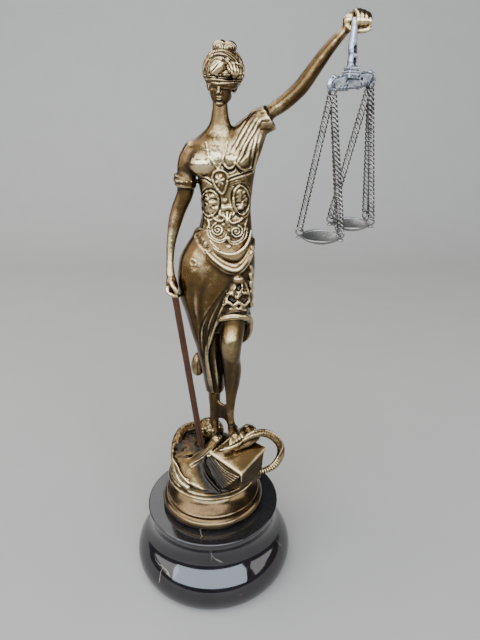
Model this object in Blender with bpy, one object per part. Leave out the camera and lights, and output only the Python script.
"""Bronze figure of Justice with a sword and a hanging pair of scales, on a turned marble base.

The front faces -Y, up is +Z, and the origin is the centre of the marble's flat underside.
Lengths are in metres. The figure's own forms are given in shares of its height.
"""
import math

import bmesh
import bpy
import numpy as np
from mathutils import Matrix, Vector
from mathutils.bvhtree import BVHTree

# Base
MARBLE_HEIGHT = 0.036
MARBLE_TOP_RADIUS = 0.033
MARBLE_WAIST_RADIUS = 0.0315
MARBLE_BULGE_RADIUS = 0.040
MARBLE_BULGE_THICKNESS = 0.020
SOCLE_HEIGHT = 0.0148
SOCLE_RADIUS = 0.0254
SOCLE_NECK_RADIUS = 0.0172
SOCLE_TORUS_THICKNESS = 0.0056

# Figure
FIGURE_HEIGHT = 0.193
GROUND_RADIUS = 0.022
GROUND_RIM = 0.0029
SWORD_WIDTH = 0.0028
SWORD_THICKNESS = 0.0018

# Scales
POST_HEIGHT = 0.0197
POST_WIDTH = 0.0036
POST_THICKNESS = 0.0032
POST_OFFSET = 0.0010
BEAM_SPAN = 0.0199
BEAM_DEPTH = 0.0060
BEAM_THICKNESS = 0.0036
BEAM_END = 0.0024
BEAM_HOLE = 0.0020
POST_HOLE = 0.0012
RING_WIRE = 0.0008
BEAM_RING_RADIUS = 0.0020
PAN_RING_RADIUS = 0.0014
PAN_RADIUS = 0.0078
PAN_DEPTH = 0.0024
PAN_WALL = 0.0009
PAN_LUG = 0.0022
LUG_THICKNESS = 0.0009
CHAIN_DROP = 0.0490
CHAIN_WIDTH = 0.0012
LINK_PAIR_PITCH = 0.0028

# Fits and fineness
CLEARANCE = 0.0003
TURNED_SIDES = 36
PAN_SIDES = 22
PAN_STEPS = 4
RING_STEPS = 10
WIRE_SIDES = 4
FIGURE_VOXEL = 0.0007
FIGURE_TRIANGLES = 4800

UNIT = FIGURE_HEIGHT / 193
FIGURE_BASE = MARBLE_HEIGHT + SOCLE_HEIGHT + CLEARANCE


def at(x, y, z):
    """A place on the figure: shares of its height, counted up from the ground casting's underside."""
    return Vector((x, y, z)) * UNIT + Vector((0, 0, FIGURE_BASE))


def curve_through(rows, steps):
    """A smooth curve through rows of numbers, with the same count of steps between each pair."""
    rows = np.array(rows, float)
    padded = np.vstack([2 * rows[0] - rows[1], rows, 2 * rows[-1] - rows[-2]])
    out = []
    for i in range(1, len(padded) - 2):
        p0, p1, p2, p3 = padded[i - 1:i + 3]
        for k in range(steps):
            t = k / steps
            out.append(0.5 * (2 * p1 + (p2 - p0) * t + (2 * p0 - 5 * p1 + 4 * p2 - p3) * t ** 2
                              + (3 * p1 - p0 - 3 * p2 + p3) * t ** 3))
    out.append(rows[-1])
    return np.array(out)


def clear_scene():
    """Start from an empty scene."""
    for item in list(bpy.data.objects):
        bpy.data.objects.remove(item, do_unlink=True)


def finish_material(name, colour, metallic, roughness):
    """A plain material with the piece's colour and shine."""
    material = bpy.data.materials.new(name)
    material.use_nodes = True
    shader = material.node_tree.nodes["Principled BSDF"]
    shader.inputs["Base Color"].default_value = (*colour, 1)
    shader.inputs["Metallic"].default_value = metallic
    shader.inputs["Roughness"].default_value = roughness
    return material


def add_piece(name, shape, material, crease=math.radians(35)):
    """Turn a finished bmesh into the named object."""
    bmesh.ops.recalc_face_normals(shape, faces=shape.faces)
    mesh = bpy.data.meshes.new(name)
    shape.to_mesh(mesh)
    shape.free()
    mesh.shade_smooth()
    mesh.set_sharp_from_angle(angle=crease)
    mesh.materials.append(material)
    piece = bpy.data.objects.new(name, mesh)
    bpy.context.scene.collection.objects.link(piece)
    return piece


def skin(shape, rings, closed_path=False):
    """Join rings of points with quads, and cap both ends unless the path is closed."""
    loops = [[shape.verts.new(point) for point in ring] for ring in rings]
    count = len(loops[0])
    pairs = list(zip(loops, loops[1:]))
    if closed_path:
        pairs.append((loops[-1], loops[0]))
    for low, high in pairs:
        for i in range(count):
            j = (i + 1) % count
            shape.faces.new((low[i], low[j], high[j], high[i]))
    if not closed_path:
        shape.faces.new(list(reversed(loops[0])))
        shape.faces.new(loops[-1])


def oval(centre, along, across, half_along, half_across, count, power=2.0):
    """A ring of points on an oval; a power above 2 makes it squarer."""
    ring = []
    for k in range(count):
        angle = 2 * math.pi * k / count
        c, s = math.cos(angle), math.sin(angle)
        a = math.copysign(abs(c) ** (2 / power), c) * half_along
        b = math.copysign(abs(s) ** (2 / power), s) * half_across
        ring.append(centre + along * a + across * b)
    return ring


def add_trunk(shape, sections, sides=36, steps=4, power=2.2):
    """A form of level oval sections: height, centre x and y, half width and half depth."""
    rings = []
    for z, x, y, wide, deep in curve_through(sections, steps):
        rings.append(oval(at(x, y, z), Vector((1, 0, 0)), Vector((0, 1, 0)), wide * UNIT, deep * UNIT, sides, power))
    skin(shape, rings)


def path_frames(points, closed=False):
    """The direction and two side directions at each point of a path, turning as little as it can."""
    frames = []
    side = None
    count = len(points)
    for i in range(count):
        before = points[(i - 1) % count] if closed else points[max(i - 1, 0)]
        after = points[(i + 1) % count] if closed else points[min(i + 1, count - 1)]
        ahead = (after - before).normalized()
        if side is None:
            side = Vector((1, 0, 0)) if abs(ahead.x) < 0.9 else Vector((0, 1, 0))
        side = (side - ahead * side.dot(ahead)).normalized()
        frames.append((ahead, side, ahead.cross(side)))
    return frames


def add_limb(shape, rows, sides=16, steps=4, flat=1.0):
    """A rounded limb through rows of x, y, z and radius; flat squeezes it front to back."""
    curve = curve_through(rows, steps)
    points = [at(*row[:3]) for row in curve]
    rings = []
    for point, (ahead, side, other), row in zip(points, path_frames(points), curve):
        rings.append(oval(point, side, other, row[3] * UNIT, row[3] * UNIT * flat, sides))
    skin(shape, rings)
    for end in (rows[0], rows[-1]):
        add_ball(shape, end[:3], (end[3], end[3], end[3]))


def add_ring(shape, centre, axis, radius, tube, sides=10, count=28, squash=1.0):
    """A closed roll of cloth or metal about an axis."""
    axis = Vector(axis).normalized()
    side = axis.orthogonal().normalized()
    other = axis.cross(side)
    rings = []
    for k in range(count):
        angle = 2 * math.pi * k / count
        out = side * math.cos(angle) + other * math.sin(angle) * squash
        rings.append(oval(at(*centre) + out * radius * UNIT, out.normalized(), axis, tube * UNIT, tube * UNIT, sides))
    skin(shape, rings, closed_path=True)


def add_ball(shape, centre, radii, turn=(0, 0, 0)):
    """An ellipsoid, turned by degrees about x, y and z."""
    rotation = Matrix.Rotation(math.radians(turn[2]), 4, "Z") @ Matrix.Rotation(math.radians(turn[1]), 4, "Y")
    rotation = rotation @ Matrix.Rotation(math.radians(turn[0]), 4, "X")
    place = Matrix.Translation(at(*centre)) @ rotation @ Matrix.Diagonal((*(Vector(radii) * UNIT), 1))
    bmesh.ops.create_uvsphere(shape, u_segments=18, v_segments=12, radius=1, matrix=place)


def add_slab(shape, low, high, thickness):
    """A slab between two edges, each a pair of places, with its thickness going down."""
    drop = Vector((0, 0, -thickness * UNIT))
    top = [at(*low[0]), at(*low[1]), at(*high[1]), at(*high[0])]
    skin(shape, [[p + drop for p in top], top])


# Ground, book, serpent and stones

def add_ground(shape):
    """The disc with its raised rim, and the mound of rock and cloth on it."""
    rows = []
    rim = GROUND_RIM / UNIT
    for r, z in ((0.90, -1), (0.97, 0.2), (1.0, 1.0), (1.0, rim), (0.94, rim + 0.3)):
        rows.append([Vector((r * GROUND_RADIUS * math.cos(a), r * GROUND_RADIUS * math.sin(a), FIGURE_BASE + z * UNIT))
                     for a in np.linspace(0, 2 * math.pi, 48, endpoint=False)])
    skin(shape, rows)
    add_trunk(shape, ((0.5, 0.4, 1.5, 18.6, 18.2), (4, 0.2, 2.2, 17.4, 15.4), (9, 0.4, 3.4, 15.4, 11.8),
                      (14, 0.8, 4.0, 11.6, 8.4), (17.5, 1.2, 4.0, 7.8, 6.0), (19, 1.4, 4.0, 4.0, 3.2)), power=2.4)


def add_rocks(shape):
    """Ledges on the left, the round stone behind the ankles and the broken lump behind the foot."""
    add_limb(shape, ((-10.5, -16.0, 3.4, 1.1), (-14.6, -13.0, 5.6, 1.4), (-17.6, -9.0, 9.4, 1.8),
                     (-18.0, -3.5, 14.5, 2.4), (-16.8, 2.0, 18.6, 2.8), (-13.4, 6.5, 20.8, 3.0), (-8, 8.5, 21.0, 3.0)))
    add_ball(shape, (-11.5, 1.5, 11.5), (7.6, 8.6, 9.0), (0, 0, 10))
    add_ball(shape, (-8.5, 5.0, 12.5), (8.0, 6.5, 8.5))
    add_limb(shape, ((-15.6, -7.2, 12.0, 2.4), (-11.5, -7.4, 12.6, 2.2), (-8.2, -6.4, 13.2, 2.4)), sides=9)
    add_ball(shape, (-0.6, 6.5, 21.0), (6.4, 5.0, 7.0))
    add_limb(shape, ((12.0, 4.5, 18.5, 3.4), (16.0, 5.0, 21.4, 2.4), (19.5, 5.0, 20.4, 2.0)), sides=7)
    add_ball(shape, (15, 4, 17), (5, 4, 5))
    add_limb(shape, ((2.0, -2.4, 21.0, 1.6), (-3.6, -6.4, 16.8, 1.5), (-9.4, -9.6, 12.4, 1.2)))


# The book's corners: its upper cover, and the lower cover that curves away below the leaves
COVER_BACK_LEFT = (0.2, -9.2, 16.8)
COVER_FRONT = (14.3, -18.6, 11.2)
COVER_RIGHT = (27.4, -5.6, 20.6)
COVER_BACK = (13.0, 2.0, 22.4)
LEAVES_BACK = (-3.6, -9.6, 13.8)
LEAVES_FRONT = (4.2, -18.4, 3.4)


def add_hull(shape, places):
    """The solid with the given corners."""
    corners = [shape.verts.new(at(*place)) for place in places]
    bmesh.ops.convex_hull(shape, input=corners)


def add_book(shape):
    """A book lying part open: a wedge of leaves between a curved lower cover and a sloping upper one."""
    add_hull(shape, (COVER_BACK_LEFT, COVER_FRONT, COVER_RIGHT, COVER_BACK, LEAVES_BACK, LEAVES_FRONT,
                     (13.6, -17.4, 4.0), (24.0, -9.5, 4.0), (12.0, 2.0, 2.0), (0, 0, 4.0)))
    grow = 0.5
    add_slab(shape, ((COVER_BACK_LEFT[0] - grow, COVER_BACK_LEFT[1] - grow, COVER_BACK_LEFT[2] + 0.7),
                     (COVER_FRONT[0], COVER_FRONT[1] - grow, COVER_FRONT[2] + 0.5)),
             (COVER_BACK, (COVER_RIGHT[0] + grow, COVER_RIGHT[1] - grow, COVER_RIGHT[2] + 0.6)), 1.1)
    add_limb(shape, ((-3.4, -8.6, 16.2, 0.8), (-4.4, -11.4, 12.8, 0.8), (-2.4, -14.6, 8.8, 0.8),
                     (0.6, -17.0, 5.8, 0.8), (3.8, -18.6, 3.8, 0.8)), sides=8)


def snake_path():
    """The serpent: its head under the toes, its body arching out to the right and its tail coming back."""
    return ((4.4, -12.6, 22.4, 1.2), (8.0, -12.8, 22.6, 1.9), (13, -12.2, 22.6, 2.2), (18, -9.6, 23.8, 2.4),
            (23.4, -5.8, 25.6, 2.4), (28.2, -3.6, 25.2, 2.4), (32.0, -3.0, 21.8, 2.3), (33.4, -3.2, 17.2, 2.2),
            (31.4, -4.4, 12.7, 2.1), (27.0, -6.6, 9.6, 1.9), (21.5, -9.4, 8.0, 1.5))


# Legs, cloth and body

def add_legs(shape):
    """The standing leg, and the bent leg whose foot is set forward on the serpent."""
    add_limb(shape, ((2, 2, 60, 3.4), (1.8, 2, 45, 3.0), (1.5, 2, 33, 2.3), (1.5, 1.8, 24, 2.3), (1.4, 0.6, 19, 2.8)))
    add_limb(shape, ((1.2, 0.5, 18.4, 2.5), (0.8, -4, 17.8, 2.3), (0.4, -7.5, 17.2, 1.7)), flat=0.7)
    add_limb(shape, ((11.5, 0, 106, 8.4), (11.6, -3.2, 93, 6.8), (11.0, -6.8, 83, 5.1), (10.4, -9.4, 76.5, 4.5),
                     (10.2, -9.9, 72, 4.2), (10.5, -7.6, 66.5, 3.9), (10.6, -5.6, 60.5, 4.1), (10.2, -4.6, 53.5, 3.5),
                     (9.7, -4.5, 45.5, 2.45), (9.3, -4.7, 38, 2.0), (9.6, -5.0, 31, 1.85)), sides=18)
    add_limb(shape, ((3.0, 0.8, 39.5, 1.4), (5.6, -1.6, 38.0, 1.3), (8.6, -3.8, 36.6, 1.4)), sides=8)
    add_limb(shape, ((10.4, -3.6, 27.8, 2.2), (10.8, -7, 27.4, 2.2), (11.3, -10.6, 26.0, 2.3)), flat=0.75)
    for k in range(5):
        spread = k - 2
        size = 0.95 if k == 0 else 0.72
        add_limb(shape, ((11.3 + 1.15 * spread, -11, 25.7, size), (11.6 + 1.35 * spread, -13.4 + 0.3 * k, 25.2, size)),
                 sides=8, steps=2)


def add_skirt(shape):
    """The close skirt: hips, the part that falls round the standing leg, the rolled hem and a billow behind."""
    add_trunk(shape, ((92, -0.8, 1.0, 10.6, 9.4), (84, -0.4, 1.0, 9.2, 8.8), (75.5, 0.0, 0.8, 7.5, 8.0),
                      (68, 0.8, 0.8, 6.4, 7.0), (57.8, 1.6, 1.0, 5.3, 6.2), (49.5, 2.0, 1.6, 4.7, 5.0),
                      (46.5, 2.0, 1.8, 4.1, 4.6)), steps=3)
    add_limb(shape, ((4.2, -7.6, 85.6, 1.3), (7.6, -11.8, 87.8, 1.6), (12.0, -13.0, 88.4, 1.7),
                     (16.2, -10.4, 87.2, 1.6), (18.2, -5.6, 84.6, 1.6), (17.6, -1.0, 79.6, 1.6),
                     (15.0, 2.6, 75.0, 1.6), (11.0, 3.6, 72.5, 1.4)), sides=10)
    add_limb(shape, ((4.2, -7.6, 85.6, 1.2), (1.6, -8.2, 78, 1.1), (-0.4, -7.4, 71, 1.0), (-1.0, -6.2, 63, 1.0),
                     (-0.2, -4.6, 54, 1.0), (1.2, -2.8, 47.5, 0.9)), sides=10)
    add_ball(shape, (12.5, 0.4, 84.0), (6.4, 6.2, 9.0), (12, 0, 0))
    add_ball(shape, (5.2, 0.0, 66.0), (3.6, 4.2, 12.0))
    add_ball(shape, (-4.8, 6.4, 59.0), (3.4, 3.6, 6.0), (0, 12, 0))
    add_ball(shape, (-1.4, 5.5, 63.5), (4.4, 4.2, 7.5))


def add_body(shape):
    """Hips, waist, chest and shoulders, the bust and the neck."""
    add_trunk(shape, ((79.5, 4.2, 0.5, 11.0, 8.4), (85.2, 4.1, 0.4, 13.6, 9.4), (92.2, 3.65, 0.3, 15.5, 10.0),
                      (99.1, 3.4, 0.2, 16.3, 10.3), (105.8, 3.8, 0.0, 16.4, 10.1), (112.4, 4.5, 0.0, 15.7, 9.2),
                      (118.8, 6.4, 0.0, 13.1, 8.0), (125.1, 8.5, 0.0, 10.3, 6.8), (133.3, 8.4, 0.0, 9.9, 6.4),
                      (141.2, 8.3, 0.0, 10.9, 6.9), (148.9, 8.6, 0.2, 11.7, 7.1), (152.6, 8.2, 0.4, 12.4, 6.7),
                      (156.4, 7.6, 0.6, 12.6, 5.8), (160.0, 7.0, 0.6, 9.0, 4.8), (163.6, 6.6, 0.4, 4.6, 3.8)))
    add_limb(shape, ((6.8, 0.8, 158, 4.6), (6.4, 0.2, 163.5, 3.5), (6.1, -0.3, 168, 3.0), (6.6, -0.4, 174, 3.1)))
    add_limb(shape, ((11.5, 0.6, 155.5, 6.0), (17.6, 0.6, 161.2, 5.6), (21.6, 0.2, 164.6, 4.9)))
    add_ball(shape, (-0.8, -4.2, 149.0), (4.6, 4.6, 4.1))
    add_ball(shape, (12.9, -4.6, 150.2), (5.0, 4.9, 4.5))
    add_ball(shape, (9.5, 5.0, 150.0), (9.5, 4.0, 9.0))
    add_ball(shape, (5.0, 6.0, 104.0), (11.5, 6.4, 9.5))


def add_lowered_arm(shape):
    """The arm that hangs by the hip, with its armlet and the hand closed on the sword's top."""
    add_limb(shape, ((-4.2, 0.4, 154.4, 4.2), (-6.6, 0.2, 150.0, 4.2), (-7.6, 0.2, 144, 3.7), (-8.3, 0.6, 138, 3.4),
                     (-11.0, 1.0, 132, 3.1), (-12.9, 0.3, 126.4, 2.8), (-14.4, -1, 119.9, 2.1),
                     (-15.1, -2.2, 114.9, 1.75), (-15.4, -3.6, 109.4, 1.55), (-15.2, -4.8, 105, 1.9)))
    add_ring(shape, (-8.0, 0.3, 144.2), (0.12, -0.02, 1), 4.0, 1.1)
    add_ring(shape, (-8.3, 0.4, 141.6), (0.12, -0.02, 1), 3.5, 0.8)
    add_ball(shape, (-15.2, -5.6, 101.6), (2.6, 3.0, 4.6), (-14, 0, 0))
    add_ball(shape, (-12.6, -4.4, 103.4), (2.4, 3.0, 3.0))
    for k in range(4):
        reach = 0.35 * k
        add_limb(shape, ((-16.4, -8.2 + 1.5 * k, 99.8 - reach, 1.0), (-14.2, -9.2 + 1.5 * k, 98.2 - reach, 1.0),
                         (-12.4, -8.2 + 1.5 * k, 96.8 - reach, 0.95), (-13.2, -6.8 + 1.3 * k, 95.6 - reach, 0.85)),
                 sides=8, steps=2)


def add_raised_arm(shape):
    """The arm held out and up, the rolled sleeve at its shoulder and the fist that holds the post."""
    add_limb(shape, ((19.5, 0.6, 162.4, 4.4), (24.5, 0.2, 167.6, 2.9), (30.4, 0, 171.4, 2.9), (36.4, -0.5, 176.6, 2.95),
                     (40.4, -1, 181.9, 2.8), (46, -2, 189.4, 2.3), (50.8, -3, 194.6, 1.75), (52.4, -3.4, 196.4, 1.8)))
    add_ring(shape, (24.0, 0.0, 165.4), (0.86, -0.1, 0.55), 4.3, 1.5)
    add_ring(shape, (21.6, 0.2, 164.6), (0.86, 0, 0.5), 4.3, 1.4)
    add_ball(shape, (53.0, -3.6, 198.0), (2.4, 2.2, 2.9), (0, 25, 0))
    for k in range(4):
        up = 199.8 - 1.35 * k
        add_limb(shape, ((53.2, -3.0, up, 0.95), (56.0, -4.4, up + 0.5, 0.95), (57.8, -6.6, up + 0.1, 0.95),
                         (56.9, -9.4, up - 0.4, 0.85)), sides=8, steps=2)
    add_limb(shape, ((51.8, -4.4, 195.8, 1.2), (50.7, -8.6, 195.2, 1.05), (53.0, -11.9, 195.6, 1.0), (57.0, -11.2, 196.2, 0.9)),
             sides=8, steps=3)


def add_head(shape):
    """Skull, face, blindfold, swept-up hair in rolls and a bun of two lobes."""
    add_ball(shape, (7.4, 0.4, 180.5), (5.2, 6.1, 7.0))
    add_ball(shape, (6.8, -2.3, 176.0), (4.5, 3.7, 5.7), (-6, 0, 4))
    add_ball(shape, (6.2, -4.3, 171.8), (1.9, 1.6, 1.5))
    add_ball(shape, (6.0, -6.0, 175.6), (0.7, 0.9, 1.6), (-14, 0, 0))
    add_ring(shape, (7.0, -0.2, 179.2), (-0.05, -0.16, 1), 5.4, 1.2, squash=1.12)
    add_ring(shape, (7.2, 0.2, 181.3), (-0.05, -0.2, 1), 5.7, 1.2, squash=1.12)
    add_ball(shape, (7.7, 1.2, 184.6), (7.4, 7.6, 6.0))
    add_ball(shape, (12.6, 1.4, 180.4), (2.7, 4.7, 4.7))
    add_ball(shape, (2.6, 1.8, 181.4), (2.4, 4.7, 4.2))
    add_ball(shape, (7.2, 5.4, 178.6), (5.8, 4.0, 5.6))
    locks = 9
    for k in range(locks):
        side = math.radians(-80 + 160 * k / (locks - 1))
        out, back = math.sin(side), 1 - math.cos(side)
        add_limb(shape, ((7.4 + 4.4 * out, -5.6 + 3.4 * back, 184.2 - 1.6 * back, 0.9),
                         (7.6 + 7.0 * out, -3.6 + 3.4 * back, 186.9 - 2.0 * back, 1.25),
                         (7.6 + 5.0 * out, 0.6 + 1.6 * back, 189.3 - 1.4 * back, 1.1),
                         (7.6 + 1.8 * out, 2.4, 189.6, 0.8)), sides=8)
    add_ball(shape, (5.9, 1.8, 191.2), (2.5, 2.5, 2.0), (0, -12, 0))
    add_ball(shape, (9.6, 1.8, 190.8), (2.4, 2.5, 2.0), (0, 14, 0))
    add_ball(shape, (4.9, -5.4, 183.8), (2.4, 1.1, 3.0), (-20, 24, 10))
    add_ball(shape, (10.2, -5.4, 183.6), (2.4, 1.1, 3.0), (-20, -28, -10))
    add_ball(shape, (7.6, -5.4, 186.9), (1.5, 1.0, 1.5))


# Carving: ridges and hollows pressed into the joined surface

def on_front(surface, x, z, side=-1):
    """The place where a line from the front (or the back) first meets the figure."""
    start = at(x, 60 * side, z)
    hit = surface.ray_cast(start, Vector((0, -side, 0)))[0]
    return hit if hit is not None else at(x, 0, z)


def round_body(surface, angle, z, axis=(6.0, 0.0)):
    """The place where a line towards the body's axis meets the figure; the angle is 0 at the front."""
    out = Vector((math.sin(math.radians(angle)), -math.cos(math.radians(angle)), 0))
    start = at(axis[0], axis[1], z) + out * 40 * UNIT
    hit = surface.ray_cast(start, -out)[0]
    return hit if hit is not None else at(axis[0], axis[1], z)


def press(points, normals, line, width, height):
    """Raise (or with a negative height sink) the surface along a line of places, in shares of the height."""
    line = np.array([tuple(p) for p in line])
    width, height = width * UNIT, height * UNIT
    low, high = line.min(axis=0) - 2.2 * width, line.max(axis=0) + 2.2 * width
    near = np.nonzero(np.all((points > low) & (points < high), axis=1))[0]
    if len(near) == 0:
        return
    best = np.full(len(near), 1e9)
    spots = points[near]
    for a, b in zip(line, line[1:]):
        edge = b - a
        share = np.clip((spots - a) @ edge / max(edge @ edge, 1e-12), 0, 1)
        best = np.minimum(best, np.linalg.norm(spots - (a + share[:, None] * edge), axis=1))
    points[near] += normals[near] * (height * np.exp(-(best / width) ** 2))[:, None]


def spiral(surface, x, z, radius, turns, hand):
    """A scroll that winds inward on the front of the body."""
    line = []
    for k in range(int(turns * 12) + 1):
        share = k / (turns * 12)
        angle = 2 * math.pi * turns * share
        r = radius * (1 - 0.85 * share)
        line.append(on_front(surface, x + hand * r * math.cos(angle), z - r * math.sin(angle)))
    return line


def carve(points, normals, surface):
    """Folds of the skirt and toga, the armour's ornament, the sash and the locks of hair."""
    front = lambda *pairs: [on_front(surface, x, z) for x, z in curve_through(pairs, 6)]
    back = lambda *pairs: [on_front(surface, x, z, side=1) for x, z in curve_through(pairs, 6)]

    def press_front(width, height, *pairs):
        press(points, normals, front(*pairs), width, height)

    # Armour: lower border, band under the bust, medallion, side ovals and scrolls
    press_front(0.7, 0.9, (-0.6, 121), (1.6, 117.4), (5.2, 114.9), (9.6, 114.2), (14, 115.4), (17.2, 118.6), (18.6, 122.5))
    press_front(1.3, -0.8, (0.4, 118), (4.6, 112.6), (10.4, 110.8), (15.6, 113), (18.6, 117.4))
    press_front(0.6, 0.7, (-1.6, 145.3), (3, 143.2), (7.4, 143.6), (12, 144.8), (18.2, 148.2))
    press_front(0.7, 0.8, (4.2, 145.8), (3.9, 142.4), (7.2, 137.4), (10, 142.4), (9.6, 146))
    press_front(1.6, 1.0, (7, 143.2), (7, 141.6))
    for centre, tilt in ((1.9, -8), (14.6, 8)):
        oval_line = []
        for k in range(17):
            angle = 2 * math.pi * k / 16
            x, z = 3.0 * math.cos(angle), 4.9 * math.sin(angle)
            turn = math.radians(tilt)
            oval_line.append(on_front(surface, centre + x * math.cos(turn) - z * math.sin(turn),
                                      134.4 + x * math.sin(turn) + z * math.cos(turn)))
        press(points, normals, oval_line, 0.55, 0.6)
    for x, hand in ((5.2, -1), (12.2, 1)):
        press(points, normals, spiral(surface, x, 122.4, 2.7, 1.8, hand), 0.5, 0.7)
        press_front(0.5, 0.6, (8.7, 128.6), (8.7 + 0.5 * hand * 3, 130.2), (8.7 + hand * 3.4, 127.4), (8.7 + hand * 5.4, 128.2))
    for z in (118.6, 116.2, 137.2 - 1.6):
        press_front(0.8, 0.8, (8.7, z), (8.7, z - 0.1))

    # Sash: a broad roll below the armour, gathered at a knot with a hanging end
    press_front(1.2, 1.3, (-3.8, 119.6), (-1.4, 114.2), (2.4, 109.8), (7, 106.6), (11.8, 105.4), (15.6, 107), (18.6, 112))
    press_front(0.6, -0.6, (-2.6, 116.5), (1, 110), (6, 105.2), (11.6, 103.6), (16.4, 105.4))
    for k in range(4):
        press_front(0.7, 0.9, (12.4 + 1.0 * k, 104), (11.4 + 1.7 * k, 98.5), (12.8 + 1.3 * k, 93.5), (10.6 + 1.9 * k, 89.5))
    press_front(1.2, 0.9, (12.9, 101.2), (13.0, 96.6))
    press_front(0.8, 0.8, (9.6, 94), (13.2, 91.6), (17.2, 93))

    # Skirt: folds that sweep from the knot down round the standing leg
    folds = 7
    for k in range(folds):
        t = k / (folds - 1)
        press_front(0.9, 1.0 if k % 2 == 0 else -0.8, (11.6 - 2.6 * t, 103 - 0.6 * t), (7.6 - 3.8 * t, 95.5 - 1.0 * t),
                    (3.8 - 4.2 * t, 84 - 0.5 * t), (1.6 - 3.4 * t, 72), (1.2 - 2.6 * t, 60), (1.8 - 2.2 * t, 50))
    for k in range(3):
        press_front(0.8, -0.5, (-9.5 + 2.4 * k, 101 - k), (-5.4 + 1.8 * k, 93 - k), (-1.6 + 1.2 * k, 84 - 2 * k))
    press_front(1.2, 0.5, (-6.4, 111.0), (-6.3, 110.6))

    # Toga: folds from the raised shoulder across the chest and down the side
    for k in range(4):
        press_front(0.6, 0.8 if k % 2 == 0 else -0.7, (20.4 - 2.3 * k, 168 - 2.2 * k), (16.8 - 1.7 * k, 160.5 - 1.6 * k),
                    (12.4 - 1.1 * k, 154.6 - 0.9 * k))
    for k in range(3):
        press_front(0.6, 0.7 if k % 2 == 0 else -0.6, (20.6 - 0.8 * k, 160), (19.4 - 0.9 * k, 152), (18.4 - 1.0 * k, 144))
    press_front(0.5, 0.6, (8.0, 150.6), (9.4, 146.0), (11.6, 145.2), (13.4, 147.4), (15.4, 145.8), (17.6, 146.6))

    # Back: a long sweep of cloth from shoulder to hip and upright folds below
    for k in range(5):
        sign = 1.0 if k % 2 == 0 else -0.8
        press(points, normals, back((18.5 - 3.0 * k, 160), (13 - 2.2 * k, 144), (11 - 2.6 * k, 126), (8 - 3.4 * k, 108)), 1.0, sign)
    for k in range(8):
        sign = 0.9 if k % 2 == 0 else -0.8
        x = 16 - 3.9 * k
        press(points, normals, back((x, 104), (4 + (x - 4) * 0.8, 88), (2 + (x - 2) * 0.45, 70), (2 + (x - 2) * 0.3, 52)), 0.9, sign)

    # Hair: strands swept up and back from the band
    strands = 18
    for k in range(strands):
        angle = 360 * k / strands
        line = []
        for t in np.linspace(0, 1, 7):
            line.append(round_body(surface, angle + 25 * t, 182 + 6.6 * t, axis=(7.6, 1.0)))
        press(points, normals, line, 0.42, -0.55)


def relax(points, edges, times, strength=0.5):
    """Even out a surface by moving each point towards the mean of its neighbours."""
    count = np.zeros(len(points))
    np.add.at(count, edges[:, 0], 1)
    np.add.at(count, edges[:, 1], 1)
    for step in range(times):
        total = np.zeros_like(points)
        np.add.at(total, edges[:, 0], points[edges[:, 1]])
        np.add.at(total, edges[:, 1], points[edges[:, 0]])
        points += strength * (total / count[:, None] - points)
    return points


def evaluated_mesh(piece):
    """A copy of the object's mesh with its modifiers applied."""
    graph = bpy.context.evaluated_depsgraph_get()
    return bpy.data.meshes.new_from_object(piece.evaluated_get(graph))


def make_figure(material):
    """The one casting: ground, book, serpent, legs, cloth, armour, arms and head."""
    shape = bmesh.new()
    add_ground(shape)
    add_rocks(shape)
    add_book(shape)
    add_limb(shape, snake_path(), sides=12)
    add_legs(shape)
    add_skirt(shape)
    add_body(shape)
    add_lowered_arm(shape)
    add_raised_arm(shape)
    add_head(shape)
    rough = add_piece("figure", shape, material)
    remesh = rough.modifiers.new("Cast in one", "REMESH")
    remesh.mode = "VOXEL"
    remesh.voxel_size = FIGURE_VOXEL
    mesh = evaluated_mesh(rough)
    count = len(mesh.vertices)
    points = np.empty(count * 3)
    mesh.vertices.foreach_get("co", points)
    points = points.reshape(-1, 3)
    edges = np.empty(len(mesh.edges) * 2, dtype=np.int64)
    mesh.edges.foreach_get("vertices", edges)
    edges = edges.reshape(-1, 2)
    relax(points, edges, 2)
    mesh.vertices.foreach_set("co", points.ravel())
    mesh.update()
    normals = np.empty(count * 3)
    mesh.vertices.foreach_get("normal", normals)
    normals = normals.reshape(-1, 3)
    surface = BVHTree.FromPolygons([tuple(p) for p in points], [tuple(face.vertices) for face in mesh.polygons])
    carve(points, normals, surface)
    mesh.vertices.foreach_set("co", points.ravel())
    mesh.update()
    rough.modifiers.clear()
    rough.data = mesh
    mesh.materials.clear()
    mesh.materials.append(material)
    flatten_underside(mesh)
    thin = rough.modifiers.new("Fewer faces", "DECIMATE")
    thin.ratio = FIGURE_TRIANGLES / (2 * len(mesh.polygons))
    thin.use_collapse_triangulate = True
    for name, form in (("sword_socket", sword_form(CLEARANCE)), ("post_socket", post_form(CLEARANCE))):
        cutter = add_piece(name, form, material)
        hide_form(cutter)
        cut = rough.modifiers.new(name, "BOOLEAN")
        cut.operation = "DIFFERENCE"
        cut.object = cutter
    return rough


def flatten_underside(mesh):
    """Cut the casting off level where it sits on the socle."""
    shape = bmesh.new()
    shape.from_mesh(mesh)
    cut = bmesh.ops.bisect_plane(shape, geom=shape.verts[:] + shape.edges[:] + shape.faces[:],
                                 plane_co=(0, 0, FIGURE_BASE), plane_no=(0, 0, 1), clear_inner=True, dist=1e-6)
    rim = [item for item in cut["geom_cut"] if isinstance(item, bmesh.types.BMEdge)]
    bmesh.ops.edgeloop_fill(shape, edges=rim)
    bmesh.ops.recalc_face_normals(shape, faces=shape.faces)
    shape.to_mesh(mesh)
    shape.free()


# Turned base

def turned(name, profile, material):
    """A round piece from its outline, given as radius and height from the top centre down."""
    shape = bmesh.new()
    rings = []
    for radius, z in profile:
        rings.append([Vector((radius * math.cos(a), radius * math.sin(a), z))
                      for a in np.linspace(0, 2 * math.pi, TURNED_SIDES, endpoint=False)])
    skin(shape, rings)
    return add_piece(name, shape, material)


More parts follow.
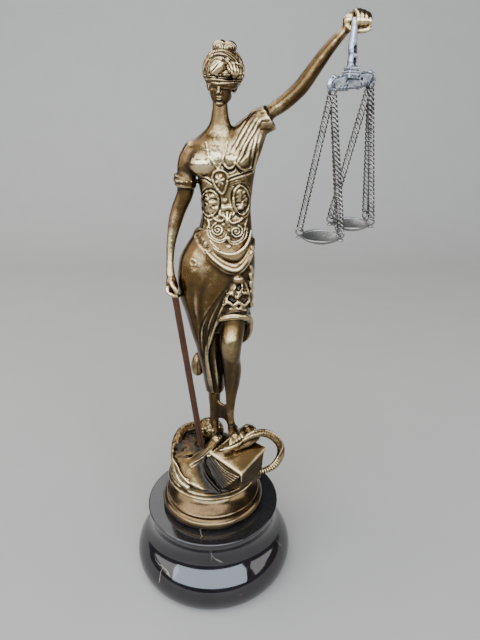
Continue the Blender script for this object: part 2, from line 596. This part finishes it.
def arc(centre_r, centre_z, radius_r, radius_z, start, end, count):
    """Points along part of an oval, in degrees from straight out."""
    return [(centre_r + radius_r * math.cos(math.radians(a)), centre_z + radius_z * math.sin(math.radians(a)))
            for a in np.linspace(start, end, count)]


def make_marble(material):
    """A drum with a crisp top edge and a hollowed side over a round bulging foot."""
    half = MARBLE_BULGE_THICKNESS / 2
    depth = MARBLE_BULGE_RADIUS - MARBLE_WAIST_RADIUS
    profile = [(MARBLE_TOP_RADIUS - 0.0006, MARBLE_HEIGHT), (MARBLE_TOP_RADIUS, MARBLE_HEIGHT - 0.0006),
               (MARBLE_TOP_RADIUS - 0.0004, MARBLE_HEIGHT - 0.003)]
    neck = MARBLE_BULGE_THICKNESS + 0.004
    profile.append((MARBLE_WAIST_RADIUS, neck + 0.4 * (MARBLE_HEIGHT - neck)))
    profile.append((MARBLE_WAIST_RADIUS, neck))
    profile += arc(MARBLE_BULGE_RADIUS - depth - 0.0005, half + 0.0005, depth + 0.0005, half, 84, -84, 9)
    profile.append((MARBLE_WAIST_RADIUS - 0.0005, 0))
    return turned("marble_base", profile, material)


def make_socle(material):
    """A bronze ring: a round moulding at the foot, a groove, and a deep hollow up to the neck."""
    low = MARBLE_HEIGHT + CLEARANCE
    top = MARBLE_HEIGHT + SOCLE_HEIGHT
    half = SOCLE_TORUS_THICKNESS / 2
    groove = low + SOCLE_TORUS_THICKNESS
    depth = SOCLE_RADIUS - SOCLE_NECK_RADIUS
    profile = [(SOCLE_NECK_RADIUS + 0.0016, top), (SOCLE_NECK_RADIUS + 0.0006, top - 0.001)]
    for k in range(5):
        t = k / 4
        z = top - 0.002 + (groove + 0.0016 - top + 0.002) * t
        profile.append((SOCLE_NECK_RADIUS + (depth - 0.0022) * t ** 2, z))
    profile.append((SOCLE_RADIUS - 0.0026, groove + 0.0002))
    profile += arc(SOCLE_RADIUS - half, low + half, half, half, 80, -80, 5)
    profile.append((SOCLE_RADIUS - half - 0.001, low))
    return turned("bronze_socle", profile, material)


# Sword

SWORD_TOP = (-13.9, -6.6, 99.0)
SWORD_TIP = (-4.6, -5.4, 19.0)


def sword_form(grow=0.0):
    """A straight blade with a ridge on each face; grow swells it on every side."""
    top, tip = at(*SWORD_TOP), at(*SWORD_TIP)
    ahead = (tip - top).normalized()
    side = (Vector((1, 0, 0)) - ahead * ahead.x).normalized()
    front = ahead.cross(side)
    top, tip = top - ahead * grow, tip + ahead * grow
    shape = bmesh.new()
    rings = []
    for share, width in ((0, 0.86), (0.03, 1.0), (0.5, 1.0), (0.94, 1.05), (1, 0.8)):
        centre = top + (tip - top) * share
        half, deep = SWORD_WIDTH / 2 * width + grow, SWORD_THICKNESS / 2 + grow
        rings.append([centre + side * a * half + front * b * deep
                      for a, b in ((1, 0.35), (0.35, 0.7), (0, 1), (-0.35, 0.7), (-1, 0.35),
                                   (-1, -0.35), (-0.35, -0.7), (0, -1), (0.35, -0.7), (1, -0.35))])
    skin(shape, rings)
    return shape


def make_sword(material):
    """The sword, from inside the lowered fist to its socket in the rock."""
    return add_piece("sword", sword_form(), material)


# Scales

BEAM_TURN = math.radians(37)
BEAM_TILT = math.radians(7.7)
BEAM_MIDDLE = at(54.2, -8.0, 178.4)
BEAM_ALONG = Vector((math.cos(BEAM_TURN) * math.cos(BEAM_TILT), math.sin(BEAM_TURN) * math.cos(BEAM_TILT),
                     math.sin(BEAM_TILT)))
BEAM_OUT = Vector((math.sin(BEAM_TURN), -math.cos(BEAM_TURN), 0))
BEAM_UP = BEAM_OUT.cross(BEAM_ALONG) * -1
POST_FOOT = BEAM_MIDDLE - BEAM_ALONG * POST_OFFSET


def beam_place(along, up, out=0.0):
    """A place on the beam, in metres from its middle."""
    return BEAM_MIDDLE + BEAM_ALONG * along + BEAM_UP * up + BEAM_OUT * out


def post_form(grow=0.0):
    """The square post above the beam, stepped at its foot and slimmer in the fist."""
    flat = Vector((BEAM_ALONG.x, BEAM_ALONG.y, 0)).normalized()
    shape = bmesh.new()
    rings = []
    for share, width in ((0.05, 1.75), (0.13, 1.66), (0.15, 1.30), (0.22, 1.22), (0.24, 1.05), (0.55, 0.98),
                         (0.72, 0.72), (0.92, 0.64), (1.0, 0.50)):
        wide, deep = POST_WIDTH / 2 * width + grow, POST_THICKNESS / 2 * (0.4 + 0.6 * width) + grow
        centre = POST_FOOT + Vector((0, 0, POST_HEIGHT * share + (grow if share == 1.0 else 0)))
        rings.append([centre + flat * a * wide + BEAM_OUT * b * deep
                      for a, b in ((1, 0.6), (0.6, 1), (-0.6, 1), (-1, 0.6), (-1, -0.6), (-0.6, -1), (0.6, -1), (1, -0.6))])
    skin(shape, rings)
    return shape


def make_beam(material):
    """The flat beam, a lobe on each side of a middle notch, with the post that the fist holds."""
    half = BEAM_SPAN / 2 + BEAM_END
    shape = bmesh.new()
    rings = []
    steps = 14
    for k in range(steps + 1):
        x = -half * math.cos(math.pi * k / steps)
        near = abs(x) / half
        round_end = max(math.sqrt(1 - min(near, 1) ** 6), 0.2)
        top = BEAM_DEPTH * (0.36 + 0.16 * (1 - near)) * round_end
        low = -BEAM_DEPTH * (0.36 + 0.14 * math.sin(math.pi * near)) * round_end
        deep = BEAM_THICKNESS / 2 * max(round_end, 0.5)
        rings.append([beam_place(x, up, out) for up, out in (
            (low * 0.7, deep * 0.8), (low, 0), (low * 0.7, -deep * 0.8), (0, -deep),
            (top * 0.8, -deep * 0.8), (top, 0), (top * 0.8, deep * 0.8), (0, deep))])
    skin(shape, rings)
    beam = add_piece("scale_beam", shape, material)
    post_piece = add_piece("post_form", post_form(), material)
    hide_form(post_piece)
    join = beam.modifiers.new("Post", "BOOLEAN")
    join.operation = "UNION"
    join.object = post_piece
    for number, share in enumerate((0.33, 0.52)):
        centre = POST_FOOT + Vector((0, 0, POST_HEIGHT * share))
        cut_round(beam, f"post_hole_{number + 1}", centre, BEAM_OUT, POST_HOLE / 2, 2 * POST_THICKNESS)
    for number, side in enumerate((-1, 1)):
        cut_round(beam, f"ring_hole_{number + 1}", beam_place(side * BEAM_SPAN / 2, 0), BEAM_OUT,
                  BEAM_HOLE / 2, 2 * BEAM_THICKNESS)
    return beam


def hide_form(form):
    """A form that only shapes another piece isn't a piece itself."""
    form.hide_render = True
    form.display_type = "WIRE"


def cut_round(target, name, centre, axis, radius, length):
    """Bore a round hole through a piece."""
    shape = bmesh.new()
    turn = axis.to_track_quat("Z", "Y").to_matrix().to_4x4()
    bmesh.ops.create_cone(shape, cap_ends=True, segments=10, radius1=radius, radius2=radius, depth=length,
                          matrix=Matrix.Translation(centre) @ turn)
    mesh = bpy.data.meshes.new(name)
    shape.to_mesh(mesh)
    shape.free()
    cutter = bpy.data.objects.new(name, mesh)
    bpy.context.scene.collection.objects.link(cutter)
    hide_form(cutter)
    cut = target.modifiers.new(name, "BOOLEAN")
    cut.operation = "DIFFERENCE"
    cut.object = cutter


def wire_ring(name, centre, axis, radius, material):
    """A small ring of round wire."""
    axis = axis.normalized()
    up = Vector((0, 0, 1))
    up = (up - axis * up.dot(axis)).normalized()
    side = axis.cross(up)
    shape = bmesh.new()
    rings = []
    for k in range(RING_STEPS):
        angle = 2 * math.pi * k / RING_STEPS
        out = side * math.cos(angle) + up * math.sin(angle)
        rings.append(oval(centre + out * radius, out, axis, RING_WIRE / 2, RING_WIRE / 2, WIRE_SIDES))
    skin(shape, rings, closed_path=True)
    return add_piece(name, shape, material)


def make_pan(name, centre, tip_axis, tip, lug_angles, material):
    """A shallow dish of true wall, a little tipped, with a pierced lug for each chain."""
    shape = bmesh.new()
    turn = Matrix.Rotation(tip, 4, tip_axis)
    place = Matrix.Translation(centre) @ turn
    outer, inner = [], []
    for k in range(PAN_STEPS):
        t = k / (PAN_STEPS - 1)
        outer.append((PAN_RADIUS * t if k else 0.0008, -PAN_DEPTH * (1 - t ** 2)))
        inner.append(((PAN_RADIUS - PAN_WALL) * t if k else 0.0007, -(PAN_DEPTH - PAN_WALL) * (1 - t ** 2)))
    profile = outer + list(reversed(inner))
    rings = []
    for radius, z in profile:
        rings.append([place @ Vector((radius * math.cos(a), radius * math.sin(a), z))
                      for a in np.linspace(0, 2 * math.pi, PAN_SIDES, endpoint=False)])
    skin(shape, rings)
    pan = add_piece(name, shape, material)
    for number, angle in enumerate(lug_angles):
        out = turn @ Vector((math.cos(angle), math.sin(angle), 0))
        lug_shape = bmesh.new()
        box = Matrix.Translation(centre + out * PAN_RADIUS) @ out.to_track_quat("X", "Z").to_matrix().to_4x4()
        bmesh.ops.create_cube(lug_shape, size=1, matrix=box @ Matrix.Diagonal((PAN_LUG, 0.0016, LUG_THICKNESS, 1)))
        lug = add_piece(f"{name}_lug_form_{number + 1}", lug_shape, material)
        hide_form(lug)
        join = pan.modifiers.new(f"Lug {number + 1}", "BOOLEAN")
        join.operation = "UNION"
        join.object = lug
    return pan


def make_chain(name, top, low, material):
    """A fine chain drawn tight: one flattened section for each link, turned by a quarter from the last."""
    shape = bmesh.new()
    count = max(int((top - low).length / LINK_PAIR_PITCH), 2)
    ahead = (low - top).normalized()
    side = ahead.cross(Vector((0, 1, 0))).normalized()
    other = ahead.cross(side)
    rings = []
    for k in range(count + 1):
        wide, thin = CHAIN_WIDTH / 2, CHAIN_WIDTH / 4
        if k % 2:
            wide, thin = thin, wide
        centre = top + (low - top) * (k / count)
        rings.append([centre + side * wide, centre + other * thin, centre - side * wide, centre - other * thin])
    skin(shape, rings)
    return add_piece(name, shape, material)


PAN_SWAY = {"left": Vector((-0.0010, 0.0, 0.0)), "right": Vector((-0.0030, 0.0, 0.0))}


def make_scales(beam_material, steel, pan_material):
    """The beam with its post, and on each end a ring, three chains and a pan."""
    make_beam(beam_material)
    lug_angles = {"left": [math.radians(a) for a in (180, -38, 30)], "right": [math.radians(a) for a in (180, -32, 36)]}
    for side, sign in (("left", -1), ("right", 1)):
        hole = beam_place(sign * BEAM_SPAN / 2, 0)
        drop = BEAM_RING_RADIUS - BEAM_HOLE / 2 + RING_WIRE / 2 + CLEARANCE / 2
        ring_centre = hole - Vector((0, 0, drop))
        wire_ring(f"beam_ring_{side}", ring_centre, BEAM_ALONG, BEAM_RING_RADIUS, steel)
        hang = ring_centre - Vector((0, 0, BEAM_RING_RADIUS + RING_WIRE / 2 + CLEARANCE + 0.0004))
        centre = hang + PAN_SWAY[side] - Vector((0, 0, CHAIN_DROP))
        tip_axis, tip = Vector((1, -0.25, 0)).normalized(), math.radians(6)
        make_pan(f"pan_{side}", centre, tip_axis, tip, lug_angles[side], pan_material)
        turn = Matrix.Rotation(tip, 4, tip_axis)
        for number, angle in enumerate(lug_angles[side]):
            out = turn @ Vector((math.cos(angle), math.sin(angle), 0))
            rise = LUG_THICKNESS / 2 + CLEARANCE + RING_WIRE / 2 + PAN_RING_RADIUS
            eye = centre + out * (PAN_RADIUS + PAN_LUG / 4) + Vector((0, 0, rise))
            wire_ring(f"pan_ring_{side}_{number + 1}", eye, out.cross(Vector((0, 0, 1))), PAN_RING_RADIUS, steel)
            start = hang + out * 0.0009
            end = eye + Vector((0, 0, PAN_RING_RADIUS + RING_WIRE / 2 + CLEARANCE + 0.0003))
            make_chain(f"chain_{side}_{number + 1}", start, end, steel)


def main():
    """Build every piece."""
    clear_scene()
    bronze = finish_material("Patinated bronze", (0.33, 0.24, 0.11), 1.0, 0.35)
    copper = finish_material("Copper-brown bronze", (0.36, 0.20, 0.11), 1.0, 0.3)
    blade = finish_material("Brown blade bronze", (0.26, 0.13, 0.07), 1.0, 0.4)
    pewter = finish_material("Pewter", (0.60, 0.62, 0.66), 1.0, 0.35)
    steel = finish_material("Chain steel", (0.50, 0.50, 0.50), 1.0, 0.3)
    dark_pewter = finish_material("Dark pewter", (0.24, 0.24, 0.25), 1.0, 0.4)
    marble = finish_material("Black marble", (0.015, 0.016, 0.02), 0.0, 0.15)
    make_marble(marble)
    make_socle(copper)
    make_figure(bronze)
    make_sword(blade)
    make_scales(pewter, steel, dark_pewter)


main()
